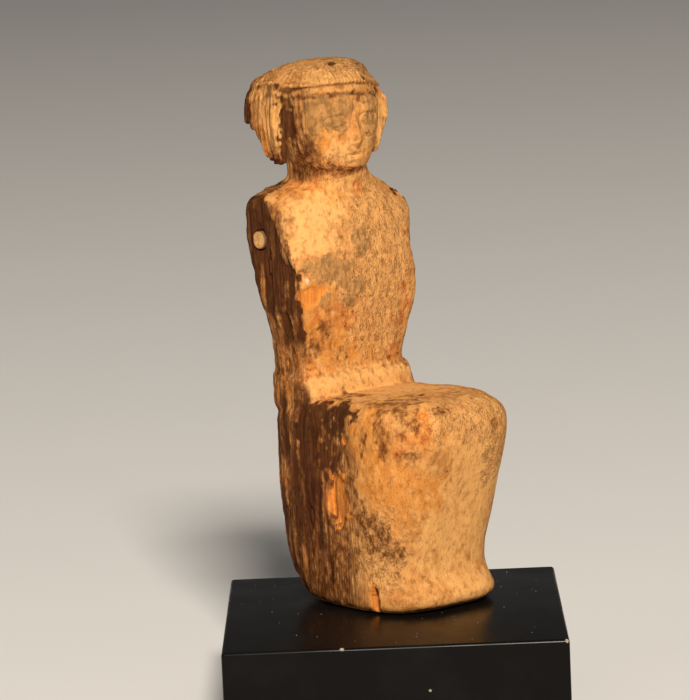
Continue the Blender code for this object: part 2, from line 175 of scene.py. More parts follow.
# Patches of finish: the middle on the surface, half width and half height. Each is a soft spot with
# a ragged rim
PATCHES = {
    # Bare orange wood, where the surface has broken away
    "bare": (
        (-17.9, -3.2, 25.0, 4.0, 6.8), (-17.6, -5.4, 38.8, 1.7, 1.6), (-14.9, 6.7, 69.4, 2.7, 2.5),
        (-12.2, 6.1, 70.4, 2.0, 1.3), (-16.3, -12.6, 2.4, 1.0, 4.6), (6.0, 23.2, 12.0, 2.4, 5.0),
        (18.9, 4.0, 21.0, 1.8, 4.4), (17.8, 13.6, 88.4, 1.6, 1.3), (-9.5, -24.1, 42.0, 1.25, 5.6),
    ),
    # Warm orange-tan wood
    "ochre": (
        (-16.4, -16.0, 38.0, 6.4, 9.0), (-15.0, -19.0, 29.0, 6.0, 8.0), (-17.0, -9.0, 40.0, 4.0, 6.0),
        (-4.0, 6.8, 58.0, 10.0, 5.6), (-14.0, 7.6, 66.0, 4.0, 6.0), (-16.0, 13.6, 54.0, 6.0, 6.0),
        (-8.0, 9.4, 92.4, 7.0, 3.0), (-7.3, 8.7, 102.7, 3.4, 3.6), (-16.0, 18.0, 102.0, 4.0, 4.6),
        (-17.2, 8.0, 6.0, 9.0, 6.0), (-8.0, -23.0, 27.0, 5.0, 5.0), (-9.6, -24.0, 42.4, 3.0, 6.0),
        (-7.4, 12.6, 95.0, 4.0, 1.6), (-5.0, 11.4, 93.4, 5.5, 2.2),
    ),
    # Red-orange stain
    "red": (
        (-9.5, 6.3, 64.8, 3.6, 2.8), (-4.8, 6.3, 63.4, 3.0, 2.0), (-13.4, 6.8, 65.0, 1.6, 1.8),
        (11.8, 6.8, 62.9, 2.4, 7.0), (10.0, 7.8, 54.6, 3.0, 1.9), (15.6, 9.6, 74.0, 1.6, 8.0),
        (3.0, 10.0, 91.8, 1.7, 1.8), (-9.3, 15.4, 93.9, 3.4, 2.2), (-10.6, 13.0, 98.0, 4.0, 3.0),
        (-6.3, 9.9, 96.8, 4.4, 1.3), (0.0, 8.4, 96.0, 5.0, 1.0), (-17.4, 18.0, 30.0, 5.0, 20.0),
        (-17.2, 12.0, 8.0, 6.0, 6.0), (-14.4, -22.4, 38.6, 2.6, 4.0), (-11.0, -24.0, 42.0, 1.9, 4.0),
        (-15.9, 13.4, 55.5, 4.6, 8.0), (-17.4, 5.0, 26.0, 8.0, 18.0), (-13.6, 10.0, 54.0, 1.4, 3.4),
        (-12.2, 12.4, 98.6, 2.2, 3.0), (-16.2, 24.0, 104.0, 4.6, 8.0), (-15.8, 16.8, 100.2, 2.4, 1.9),
        (4.0, 23.4, 20.0, 12.0, 14.0), (0.0, 26.0, 76.0, 12.0, 8.0),
    ),
    # Smooth grey-brown crust of earth
    "crust": (
        (-10.6, 6.0, 74.8, 4.2, 2.9), (-14.8, 6.6, 75.8, 1.9, 1.3), (-5.6, 5.8, 74.2, 3.2, 3.0),
        (-2.6, 5.8, 70.6, 2.6, 2.4), (-4.6, 6.0, 67.4, 2.0, 1.6), (-0.4, 6.2, 80.4, 2.6, 3.2),
        (-10.9, 6.1, 68.3, 1.6, 1.5), (-7.6, 8.4, 110.4, 3.6, 3.4), (-9.4, 9.6, 107.0, 1.6, 3.6),
        (-3.6, 7.2, 110.6, 4.0, 3.2), (-4.6, 7.8, 106.6, 2.6, 1.8), (5.8, 8.0, 108.2, 3.0, 4.0),
        (6.6, 9.6, 117.2, 4.6, 2.6),
    ),
    # Speckled remains of an old ground, all over one side of the chest and the knees
    "speckled": (
        (6.0, 6.0, 76.0, 11.0, 13.0), (8.0, 8.6, 86.6, 8.0, 6.0), (4.0, 6.5, 61.0, 9.0, 7.0),
        (-9.5, 11.8, 98.6, 4.6, 4.6), (-4.0, 8.4, 97.0, 6.0, 2.6), (6.4, 8.6, 104.0, 3.6, 6.0),
        (2.0, 16.0, 120.0, 11.0, 3.0), (2.0, -27.0, 43.0, 11.0, 5.0), (11.0, -26.0, 34.0, 5.0, 8.0),
        (-15.6, -15.0, 14.0, 6.0, 8.0), (-16.0, 13.6, 54.5, 5.0, 6.0), (-16.0, 17.0, 100.4, 3.0, 3.0),
    ),
    # Pale smooth wood with remains of ochre
    "pale": (
        (-14.6, 9.6, 84.0, 5.0, 8.0), (-8.4, 8.4, 88.0, 5.6, 5.0), (-2.0, 9.4, 93.0, 4.6, 2.2),
        (-10.0, 6.6, 81.0, 4.6, 2.4), (0.0, 6.0, 49.0, 16.0, 2.4), (0.0, 1.6, 47.0, 14.0, 3.4),
        (-2.6, -21.2, 15.0, 7.0, 10.0), (6.0, -22.0, 22.0, 7.0, 16.0), (3.0, -25.6, 33.0, 7.0, 7.0),
        (6.0, -22.0, 4.0, 11.0, 4.4), (-3.0, 7.6, 117.6, 8.0, 2.0), (-16.2, 18.0, 111.0, 3.0, 7.0),
        (15.6, 15.4, 106.0, 3.0, 7.0), (-2.4, 7.4, 100.6, 3.6, 2.6), (-16.2, 15.4, 107.5, 4.4, 7.5),
        (8.0, -24.0, 24.0, 7.0, 18.0),
    ),
    # Soft brown: stains, and painted shade in holes and pits, under the band and the jaw, and by the lock
    "brown": (
        (-12.9, 7.8, 57.4, 2.6, 3.4), (-11.0, 6.6, 61.6, 1.9, 1.6), (-17.4, -8.0, 29.0, 1.9, 6.4),
        (-17.0, -10.8, 20.6, 3.4, 5.0), (-16.0, -14.0, 17.0, 4.0, 3.6), (-13.6, -17.0, 14.4, 3.0, 2.6),
        (-17.5, 0.6, 12.0, 5.4, 9.0), (-17.5, 7.0, 22.0, 3.6, 13.0), (-13.0, -23.0, 36.0, 2.4, 2.2),
        (-16.4, -17.6, 42.0, 2.2, 4.4), (-16.8, -12.4, 38.6, 1.3, 4.0), (-13.0, -22.6, 43.6, 2.4, 2.6),
        (-12.6, -17.0, 46.6, 5.0, 2.0), (-10.4, -22.0, 46.8, 1.6, 1.2), (-5.0, -24.6, 45.6, 1.8, 1.3),
        (8.3, -27.0, 40.6, 1.7, 1.5), (-3.0, -13.4, 47.3, 2.4, 0.9), (-9.0, 1.4, 46.8, 3.4, 1.6),
        (-6.0, 7.4, 113.6, 7.0, 0.8), (6.0, 9.0, 112.0, 5.0, 0.9), (9.6, 12.0, 118.0, 4.0, 2.0),
        (-10.6, 13.2, 99.6, 3.4, 3.6), (-7.0, 10.4, 97.0, 3.6, 1.2), (-3.0, 8.6, 96.0, 6.6, 0.9),
        (0.0, 24.4, 52.0, 15.0, 3.0), (-6.0, 24.6, 62.0, 6.0, 9.0), (-15.4, 16.4, 99.6, 3.6, 1.6),
        (-11.4, 12.6, 105.0, 1.4, 6.0), (-17.0, -4.0, 32.0, 2.6, 6.0), (-17.4, -8.6, 27.0, 1.7, 6.0),
        (-17.4, -2.6, 12.0, 6.0, 9.0), (-6.4, -24.4, 43.4, 1.2, 3.0),
    ),
    # Dark patina, and painted shade in the holes and the notch, by the lock and on the wig's back
    "dark": (
        (-17.0, 3.0, 40.6, 6.6, 5.6), (-17.2, 1.6, 34.8, 4.4, 4.6), (-16.2, -4.6, 44.2, 4.4, 2.4),
        (-16.3, -13.8, 2.6, 0.7, 4.0), (-13.2, 15.4, 104.6, 1.9, 9.6), (-15.6, 17.0, 98.8, 2.6, 1.1),
        (-1.6, 12.0, 119.9, 0.9, 0.5), (5.0, 8.3, 117.0, 0.7, 0.7), (-16.8, 7.6, 73.3, 0.8, 1.1),
        (-16.0, 26.0, 108.0, 4.0, 8.0), (20.0, 18.0, 80.0, 6.0, 12.0),
    ),
    # White fleck at the nick
    "chalk": (
        (-15.5, 6.8, 73.0, 0.36, 0.75),
    ),
}

# Chips in the lacquer on the block's edges: the middle as shares of the half width, half depth and
# height, and the radius in millimetres
CHIPS = (
    ((-0.307, -1.0, 1.0), 0.62),
    ((0.985, -1.0, 0.995), 0.6),
    ((0.19, -1.0, 0.60), 0.35),
    ((-1.0, 0.42, 1.0), 0.5),
    ((0.55, 1.0, 1.0), 0.55),
    ((1.0, -0.2, 1.0), 0.4),
    ((-1.0, -1.0, 0.36), 0.5),
)

# The dust keeps this far from the block's edges
DUST_MARGIN = 0.003
DUST_SEED = 7

# The stage, in metres: for each light its place, its width and its colour
FLOOR_HALF = 6
KEY_LIGHT = ((0.25, -2.15, 1.65), 0.5, (1.0, 0.93, 0.84))
FILL_LIGHT = ((-1.6, -0.9, 0.8), 1.2, (1.0, 0.93, 0.86))
LIGHT_AIM = Vector((0, 0.015, 0.09))
ROOM_COLOUR = (1, 0.98, 0.95, 1)

# The camera looks at a point above the block's middle, from almost straight ahead and a little above
CAMERA_AIM = Vector((-0.0085, 0.0, 0.0838))
CAMERA_DISTANCE = 0.95
CAMERA_AZIMUTH = math.radians(0.53)
CAMERA_ELEVATION = math.radians(9.24)
CAMERA_ROLL = math.radians(-2.48)
SENSOR_WIDTH = 36


def colour_setting(name, description, default):
    """A colour that a user would change."""
    return bpy.props.FloatVectorProperty(
        name=name, description=description, default=default, subtype="COLOR", size=3
    )


class FigurineSettings(bpy.types.PropertyGroup):
    """What a user would change on the carved figurine and its peg."""

    mesh_size: bpy.props.FloatProperty(
        name="Mesh Size", description="Size of the carved surface's faces", default=0.000365, unit="LENGTH"
    )
    grain_depth: bpy.props.FloatProperty(
        name="Grain Depth", description="How deep weather has opened the grain", default=0.00034,
        unit="LENGTH",
    )
    strand_count: bpy.props.IntProperty(
        name="Hair Strands", description="How many strands are cut round the wig", default=72, min=12
    )
    wood: colour_setting("Wood", "Aged wood between the patches", (0.46, 0.185, 0.046))
    tan: colour_setting("Tan Wood", "Lighter blotches of the aged wood", (0.62, 0.285, 0.082))
    grain: colour_setting("Dark Grain", "Pores, specks and lines of the grain", (0.12, 0.036, 0.009))
    bare: colour_setting("Bare Wood", "Freshly broken wood", (0.66, 0.215, 0.035))
    ochre: colour_setting("Ochre", "Warm orange-tan wood", (0.57, 0.207, 0.035))
    # The brown also paints shade on the sides, in holes and under the band, the jaw and the lock
    brown: colour_setting("Brown Stain", "Soft brown stain", (0.11, 0.027, 0.0045))
    red: colour_setting("Red Stain", "Red-orange stain", (0.50, 0.145, 0.028))
    crust: colour_setting("Crust", "Grey-brown earth crust", (0.2, 0.098, 0.031))
    speckled: colour_setting("Old Ground", "Speckled remains of ground", (0.55, 0.265, 0.084))
    pale: colour_setting("Pale Wood", "Smooth wood with ochre left", (0.72, 0.36, 0.11))
    # The patina colour also paints the shade in grooves, cracks, holes and recesses
    dark: colour_setting("Patina", "Dark brown patina", (0.036, 0.0085, 0.0012))
    peg: colour_setting("Peg", "The peg's end grain", (0.57, 0.3, 0.09))


class BlockSettings(bpy.types.PropertyGroup):
    """What a user would change on the mounting block."""

    edge: bpy.props.FloatProperty(
        name="Edge", description="Width of the eased edges", default=0.0008, unit="LENGTH"
    )
    black: colour_setting("Black", "The block's lacquer", (0.004, 0.0034, 0.003))
    chipped: colour_setting("Chips", "What shows where the lacquer is chipped", (0.32, 0.27, 0.2))
    roughness: bpy.props.FloatProperty(
        name="Roughness", description="How dull the lacquer is", default=0.22, min=0, max=1,
        subtype="FACTOR",
    )
    specks: bpy.props.IntProperty(
        name="Dust Specks", description="How many specks of dust lie on the block", default=70, min=0
    )
    speck_size: bpy.props.FloatProperty(
        name="Speck Size", description="Radius of a usual speck", default=0.00009, unit="LENGTH"
    )


class StageSettings(bpy.types.PropertyGroup):
    """The floor, the light and the camera."""

    floor: colour_setting("Floor", "The studio floor", (0.74, 0.72, 0.69))
    key_power: bpy.props.FloatProperty(
        name="Key Light", description="Power of the large soft light", default=112.0, unit="POWER"
    )
    fill_power: bpy.props.FloatProperty(
        name="Fill Light", description="Power of the light on the dark side", default=4.6, unit="POWER"
    )
    sky: bpy.props.FloatProperty(
        name="Room Light", description="Strength of the light from all round", default=0.1, min=0
    )
    lens: bpy.props.FloatProperty(
        name="Lens", description="Focal length in millimetres", default=220.9, min=1
    )


# Places and meshes


def turned(x, y, sine):
    """Flat places turned into the figurine's frame, or out of it where the sine is negative."""
    return COS_TURN * x + sine * y, COS_TURN * y - sine * x


def to_figure(points):
    """Points in the row frame as millimetres in the figurine's own frame."""
    x, y = turned(points[:, 0], points[:, 1] - FIGURE_SETBACK, SIN_TURN)
    return np.column_stack((x, y, points[:, 2] - FOOT_HEIGHT)) / MM


def to_row(points):
    """The other way round."""
    x, y = turned(points[:, 0] * MM, points[:, 1] * MM, -SIN_TURN)
    return np.column_stack((x, y + FIGURE_SETBACK, points[:, 2] * MM + FOOT_HEIGHT))


def read_vectors(items, name):
    """The named vector of each of a mesh's points or normals."""
    flat = np.zeros(len(items) * 3, np.float32)
    items.foreach_get(name, flat)
    return flat.reshape(-1, 3).astype(float)


def read_normals(mesh):
    """The normals at the points, in the figurine's own frame."""
    x, y, z = read_vectors(mesh.vertex_normals, "vector").T
    return np.column_stack((*turned(x, y, SIN_TURN), z))


def read_edges(mesh):
    """The two points of each edge."""
    flat = np.zeros(len(mesh.edges) * 2, np.int32)
    mesh.edges.foreach_get("vertices", flat)
    return flat.reshape(-1, 2)


def write_points(mesh, points):
    """Moves the mesh's points."""
    mesh.vertices.foreach_set("co", points.astype(np.float32).ravel())
    mesh.update()


def store(mesh, name, values):
    """Keeps a number or a vector for each point."""
    kind, field = ("FLOAT", "value") if values.ndim == 1 else ("FLOAT_VECTOR", "vector")
    kept = mesh.attributes.new(name, kind, "POINT")
    kept.data.foreach_set(field, values.astype(np.float32).ravel())


def neighbour_mean(values, edges):
    """For each point, the mean of its neighbours' values."""
    count = np.bincount(edges.ravel(), minlength=len(values))[:, None]
    total = np.zeros_like(values)
    for column in range(values.shape[1]):
        for near, far in ((0, 1), (1, 0)):
            weights = values[edges[:, far], column]
            total[:, column] += np.bincount(edges[:, near], weights, minlength=len(values))
    return total / count


def soften(points, edges, amount, rounds):
    """Smooths without shrinking, by as much as amount says at each point."""
    for _ in range(rounds):
        for step in (0.5, -0.52):
            shift = neighbour_mean(points, edges) - points
            points = points + shift * amount[:, None] * step
    return points


def new_object(name, data, material=None):
    """An object in the scene, with one material where one is given."""
    made = bpy.data.objects.new(name, data)
    bpy.context.scene.collection.objects.link(made)
    if material:
        data.materials.clear()
        data.materials.append(material)
    return made


def mesh_from(bm, name):
    """A mesh made from a bmesh, which is freed."""
    mesh = bpy.data.meshes.new(name)
    bm.to_mesh(mesh)
    bm.free()
    return mesh


def solid_copy(node, name):
    """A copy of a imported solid's mesh with its triangles joined."""
    bm = bmesh.new()
    bm.from_mesh(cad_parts[node].data)
    bmesh.ops.remove_doubles(bm, verts=bm.verts, dist=1e-7)
    return mesh_from(bm, name)


def applied(thing, name):
    """The object's mesh as its modifiers leave it. The object itself goes."""
    bpy.context.view_layer.update()
    depsgraph = bpy.context.evaluated_depsgraph_get()
    mesh = bpy.data.meshes.new_from_object(thing.evaluated_get(depsgraph))
    mesh.name = name
    bpy.data.objects.remove(thing)
    return mesh


def evenly_meshed(mesh, size):
    """The mesh made again from even faces of the given size."""
    thing = new_object("evenly", mesh)
    step = thing.modifiers.new("Even", "REMESH")
    step.mode = "VOXEL"
    step.voxel_size = size
    step.adaptivity = 0
    return applied(thing, mesh.name)


def keep(piece, node):
    """Hands a finished piece over: it rides on the one body and stands for a solid."""
    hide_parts(node)
    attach(piece, "root")


# Noise and shapes over the surface


def noise(points, size, seed):
    """Smooth noise from -1 to 1 with features of the given size, one or three lengths."""
    cells = 24
    table = np.random.default_rng(seed).uniform(-1, 1, (cells, cells, cells))
    at = points / np.asarray(size, float) + 100
    cell = np.floor(at).astype(int)
    part = at - cell
    part = part * part * (3 - 2 * part)
    total = np.zeros(len(points))
    for corner in itertools.product((0, 1), repeat=3):
        weight = np.ones(len(points))
        for axis in range(3):
            weight *= part[:, axis] if corner[axis] else 1 - part[:, axis]
        index = (cell + corner) % cells
        total += weight * table[index[:, 0], index[:, 1], index[:, 2]]
    return total


def rough(points, size, seed, octaves=3):
    """Noise with finer noise on it."""
    total = 0
    for k in range(octaves):
        total = total + noise(points, np.asarray(size, float) / 2 ** k, seed + k) / 2 ** k
    return total / 1.6


def ramp(value, low, high):
    """0 below low, 1 above high, smooth between."""
    share = np.clip((value - low) / (high - low), 0, 1)
    return share * share * (3 - 2 * share)


def bump(distance, reach):
    """1 at no distance, falling smoothly to 0 at reach."""
    share = np.clip(np.abs(distance) / reach, 0, 1)
    return (1 - share * share) ** 2


def spot_distance(points, middle, half_width, half_height):
    """How far each point is from the middle of a spot, 1 at its rim."""
    across = np.hypot(points[:, 0] - middle[0], points[:, 1] - middle[1])
    return np.hypot(across / half_width, (points[:, 2] - middle[2]) / half_height)


# The figurine


def fringe_edge(x):
    """The height of the fringe's edge at a place across the face."""
    return FRINGE - np.interp(x, *zip(*FRINGE_DROP))


def behind_side_line(points):
    """How far each point lies behind the line where the chest ends and the right side begins."""
    return points[:, 1] - np.interp(points[:, 2], *zip(*SIDE_LINE))


def zones(points, normals):
    """Shares from 0 to 1 of how much each point belongs to each part of the carving."""
    x, y, z = points.T
    fringe = fringe_edge(x)
    out = np.hypot(x, y - HAIR_MIDDLE)
    above = ramp(z, fringe - 0.1, fringe + 0.1)
    lock = ramp(z, 97.6, 98.2) * ramp(y, LOCK_FRONT - 0.3, LOCK_FRONT) * ramp(out, 12.2, 13.0)
    face = ramp(z, CHIN - 0.6, CHIN + 0.6) * (1 - above) * (1 - ramp(y, 13.5, LOCK_FRONT))
    side = ramp(np.abs(normals[:, 0]), 0.55, 0.85) * np.where(z < LAP, ramp(y, -13, -3), 1)
    behind = ramp(normals[:, 1], 0.4, 0.8)
    frayed = 2.2 * (1 - ramp(z, 60, 70)) * rough(points, (2.4, 2.4, 4.0), 98)
    beside = ramp(behind_side_line(points) + frayed, 0.0, 0.45) * ramp(-x, 8, 10) * ramp(z, 54, 60)
    return {
        "hair": np.maximum(above, lock),
        "face": face,
        "band": ramp(z, fringe - 2.15, fringe - 1.95) * face,
        "legs": 1 - ramp(z, LAP - 1.0, LAP + 2.0),
        "torso": ramp(z, LAP, LAP + 3) * (1 - ramp(z, CHIN - 1.5, CHIN)),
        "beside": beside * (1 - ramp(z, 90.5, 92)),
        "weather": np.clip(side + behind + beside, 0, 1),
    }


def crisp_places(points):
    """Where the solid's edges stay crisp when the rest is smoothed."""
    x, y, z = points.T
    fringe = bump(z - fringe_edge(x), 1.4) * (1 - ramp(y, LOCK_FRONT, LOCK_FRONT + 2))
    fringe = fringe * (1 - ramp(np.abs(x), 11, 12.5))
    locks = bump(y - LOCK_FRONT, 1.4) * ramp(z, 97, 98) * ramp(np.abs(x), 11, 12)
    nose = ramp(z, CHIN, CHIN + 2) * (1 - ramp(z, FRINGE - 3, FRINGE)) * (1 - ramp(y, 11, 14))
    sole = 1 - ramp(z, 0.4, 1.4)
    hole = 1 - ramp(spot_distance(points, (ARM_CUT_RIGHT, PEG_BACK, PEG_HEIGHT), 3.4, 3.4), 0.8, 1)
    return np.clip(fringe + locks + 0.8 * nose + sole + hole, 0, 1)


def settled(points, edges):
    """The solid's form smoothed, with flat seats for the arms and the fringe's left end drawn in."""
    points = soften(points, edges, 1 - SMOOTHING * crisp_places(points), SMOOTHING_ROUNDS)
    x, y, z = points.T
    by_arms = (z > LAP + 6) & (z < NECK)
    x = np.where(by_arms, np.clip(x, ARM_CUT_RIGHT + 0.2, ARM_CUT_LEFT - 0.2), x)
    reach = COS_TURN * x - SIN_TURN * (y - HAIR_MIDDLE)
    inward = 1.5 * ramp(reach, 7, 13) * ramp(z, 109.6, 115.0) * (1 - ramp(z, 116.5, 120))
    return np.column_stack((x - COS_TURN * inward, y + SIN_TURN * inward, z))


def knife_and_weather(points, part, look):
    """How far the tool marks and the weather lift each point, and how much painted shade darkens its
    grooves and pits.
    """
    x, y, z = points.T
    grain = look.grain_depth / MM
    lift = 0.2 * rough(points, (6, 6, 16), 1, 2) * (1 - part["face"]) * (1 - 0.5 * part["hair"])
    knee = ramp(-y, 8, 18) * ramp(-x, 2, 9) * ramp(z, 28, 36) * part["legs"]
    lift += 0.5 * knee * noise(points, (3.0, 3.0, 6.5), 5) + 0.2 * knee * noise(points, (1.5, 1.5, 3.0), 6)
    lift += 0.16 * (part["torso"] + 0.5 * part["legs"]) * rough(points, (2.2, 2.2, 2.2), 7)

    # Open grain: narrow grooves between ridges, deepest on the sides and the back
    moved = points + 0.5 * noise(points, (2.5, 2.5, 8), 15)[:, None]
    broad = noise(moved, (2.2, 2.2, 17), 11)
    narrow = noise(moved, (1.2, 1.2, 11), 14)
    grooves = 0.75 * (1 - np.abs(broad)) ** 4 + 0.5 * (1 - np.abs(narrow)) ** 4
    even = 0.05 + 0.95 * part["weather"] + 0.15 * part["hair"]
    broken = 0.75 + 0.5 * noise(points, (3, 3, 6), 16)
    lift += grain * even * broken * (0.5 * broad + 0.35 * narrow - 1.1 * grooves + 0.5)
    fine = rough(points, (0.8, 0.8, 1.3), 21, 2)
    lift += 0.1 * fine * (0.35 + 0.8 * part["weather"] + 0.7 * part["torso"] + 0.4 * part["hair"])
    pits = ramp(noise(points, (1.0, 1.0, 1.6), 25), 0.5, 0.8)
    pits = pits * (1 - 0.8 * part["legs"] * (1 - part["weather"]))
    lift -= 0.16 * pits
    return lift, np.clip(grooves * even * broken, 0, 1) + 0.5 * pits


def fringe_relief(points, part):
    """The fringe's thick edge and the band under it: how far they lift each point, and painted shadow lines
    along the fringe's edge and under the band.
    """
    x, y, z = points.T
    fringe = fringe_edge(x)
    inner = 1 - ramp(x, 9.0, 11.5)
    seam = inner * bump(z - (fringe - 0.05), 0.45) * (1 - ramp(y, LOCK_FRONT - 2, LOCK_FRONT))
    under = inner * bump(z - (fringe - 2.45), 0.55) * part["face"]
    proud = 0.3 * part["band"] + 0.35 * bump(z - (fringe + 0.7), 1.2) * part["hair"]
    return inner * proud - 0.5 * seam - 0.3 * under, np.maximum(seam, 0.8 * under)


def strand_relief(points, part, count):
    """The strands cut round the wig: narrow grooves between ridges that wander a little, with painted shade
    in the grooves.
    """
    x, y, z = points.T
    around = np.arctan2(x, HAIR_MIDDLE - y)
    phase = around * count / (2 * math.pi) + 0.7 * rough(points, (4, 4, 10), 31)
    groove = (1 - np.abs(np.sin(phase * math.pi))) ** 1.3
    height = np.random.default_rng(32).uniform(-1, 1, count)[np.floor(phase).astype(int) % count]
    from_crown = ramp(np.hypot(x, y - HAIR_MIDDLE), 3, 11)
    worn = 0.75 + 0.5 * noise(points, (3, 3, 5), 33)
    groove = groove * from_crown * (1 - 0.45 * ramp(z, 116.5, 119.5))
    deep = 0.45 + 0.25 * ramp(z, 110, 113)
    lift = (0.14 * height * from_crown - deep * groove) * worn
    cut = groove * worn * (0.4 + 0.8 * ramp(z, 111, 114))
    return lift * part["hair"], 0.6 * cut * part["hair"]


def side_relief(points):
    """The rim of the chest at the arm's seat, and the side cut away behind it."""
    x, y, z = points.T
    past = behind_side_line(points)
    right = ramp(-x, 11, 14) * ramp(z, 60, 64) * (1 - ramp(z, 90, 91.5))
    hollow = ramp(past, 0.0, 0.5) * (1 - ramp(past, 3, 9)) * right * (1 - ramp(z, 74, 80))
    return 0.3 * bump(past + 0.5, 0.9) * right - 0.55 * hollow, np.zeros(len(z))


def kilt_relief(points, part):
    """The ragged upper edge of the kilt, and painted shade in a line above it."""
    z = points[:, 2]
    edge = WAIST - 0.2 + 0.9 * rough(points, (3.2, 3.2, 2.4), 41) + 0.35 * noise(points, 0.9, 44)
    kept = np.clip(0.75 + 0.7 * noise(points, (3, 3, 4), 46), 0.1, 1) * part["torso"]
    lift = 0.48 * kept * (1 - ramp(z - edge, -0.1, 0.3)) * ramp(z, 45.6, 49.6)
    return lift, 0.6 * kept * bump(z - edge - 0.35, 0.45)


def face_relief(points):
    """How far the plain worn face stands out or in from the solid's, along its front."""
    x, y, z = points.T
    out = 0.3 * bump(z - (BROW + 0.4), 1.4) * bump(np.abs(x) - EYE_SPREAD * 0.9, 4.4)
    ridge = 1 - ramp(z, NOSE_FOOT + 0.6, BROW)
    out = out + 0.75 * ridge * ramp(z, NOSE_FOOT - 0.5, NOSE_FOOT + 0.4) * bump(x, 1.2 + 0.9 * ridge)
    for side in (-1, 1):
        across = (x - side * EYE_SPREAD) / 2.5
        up = (z - EYES) / 1.25
        reach = np.hypot(across, up)
        out = out + 0.32 * (1 - ramp(reach, 0.5, 1.0)) - 0.16 * bump(reach - 1.12, 0.24)
        out = out + 0.3 * bump(x - side * 1.8, 1.1) * bump(z - (NOSE_FOOT + 0.9), 1.3)
        out = out + 0.25 * bump(x - side * 6.0, 4.0) * bump(z - (NOSE_FOOT + 2.0), 3.6)
        out = out - 0.2 * bump(x - side * 3.6, 0.9) * bump(z - MOUTH, 1.0)
    out = out + 0.35 * bump(x, 3.4) * bump(z - (MOUTH + 0.85), 0.95)
    out = out + 0.38 * bump(x, 2.9) * bump(z - (MOUTH - 0.95), 1.0)
    out = out - 0.3 * bump(x, 3.4) * bump(z - MOUTH, 0.5)
    out = out - 0.2 * bump(x, 3.0) * bump(z - (MOUTH - 2.0), 0.7)
    return out + 0.35 * bump(x, 3.4) * bump(z - (CHIN + 1.5), 1.6)


def patch_mask(points, kind):
    """How much of one finish each point has, from the patches of that kind with ragged rims."""
    field = np.zeros(len(points))
    for *middle, half_width, half_height in PATCHES[kind]:
        field = np.maximum(field, 1 - 0.5 * spot_distance(points, middle, half_width, half_height))
    seed = 70 + 4 * list(KINDS).index(kind)
    frayed = rough(points, (2.6, 2.6, 4.0), seed) + 0.5 * noise(points, 0.8, seed + 3)
    soft = KINDS[kind]["soft"]
    return ramp(field + KINDS[kind]["ragged"] * frayed, 0.5 - soft, 0.5 + soft)


def finish_masks(points, part):
    """How much of each finish every point has, with the patina and painted shade of the sides and the back
    added.
    """
    x, y, z = points.T
    masks = {kind: patch_mask(points, kind) for kind in KINDS}
    streaked = noise(points, (1.4, 1.4, 9), 95)
    beside = part["beside"] * np.where(z < 73, 0.68 + 0.8 * streaked, 0.85 + 0.5 * streaked)
    # The seat's right side is darkened as well: partly patina, partly painted shade
    seat = ramp(-x, 12, 15.5) * ramp(y, -10, 4) * (1 - ramp(z, 44, 50))
    seat = seat * (0.58 + 0.5 * streaked + 0.25 * rough(points, (4, 4, 7), 99))
    dark = np.maximum(masks["dark"], np.maximum(beside, seat))
    masks["dark"] = np.clip((1 - 0.9 * masks["bare"]) * dark, 0, 1)
    # Brown over the sides and the back that face away from the light: partly grime, partly painted shade
    grime_and_shade = part["weather"] * (0.62 + 0.3 * streaked + 0.35 * rough(points, (5, 5, 9), 97))
    clean = 1 - np.maximum(masks["bare"], 0.85 * masks["red"] * ramp(z, 47, 50))
    grime_and_shade = ramp(grime_and_shade, 0.3, 0.6) * clean * np.where(z > NECK, 0.25, 0.9)
    masks["brown"] = np.maximum(masks["brown"], grime_and_shade)
    return masks


def gouged(points, normals):
    """The points with the chips, holes and pits cut in, each straight in at its middle."""
    for _, middle, half_width, half_height, depth, leaning in GOUGES:
        reach = spot_distance(points, middle, half_width, half_height) + 0.2 * noise(points, 1.2, 51)
        inward = -normals[np.argmin(reach)]
        lean = 1 + leaning * np.clip((points[:, 1] - middle[1]) / half_width, -1, 1)
        points = points + inward * (depth * lean * (1 - ramp(reach, 0.7, 1.0)))[:, None]
    return points


def crack_cuts(points):
    """How deep the drying cracks go at each point, and how much painted shade darkens them there."""
    x, y, z = points.T
    path = 0.9 * noise(np.column_stack((0 * z, 0 * z, z)), 5.0, 61)
    deep = np.zeros(len(z))
    gap = np.zeros(len(z))
    for middle, half_length, depth in CRACKS:
        across = np.hypot(x - middle[0], y - middle[1]) * np.sign(x - middle[0] + 0.3 * (y - middle[1]))
        width = 0.5 * np.sqrt(np.clip(1 - ((z - middle[2]) / half_length) ** 2, 0, 1))
        crack = (1 - ramp(np.abs(across - path), 0.2 * width, width + 1e-3)) * (width > 0)
        deep += depth * crack
        gap = np.maximum(gap, crack)
    return deep, gap


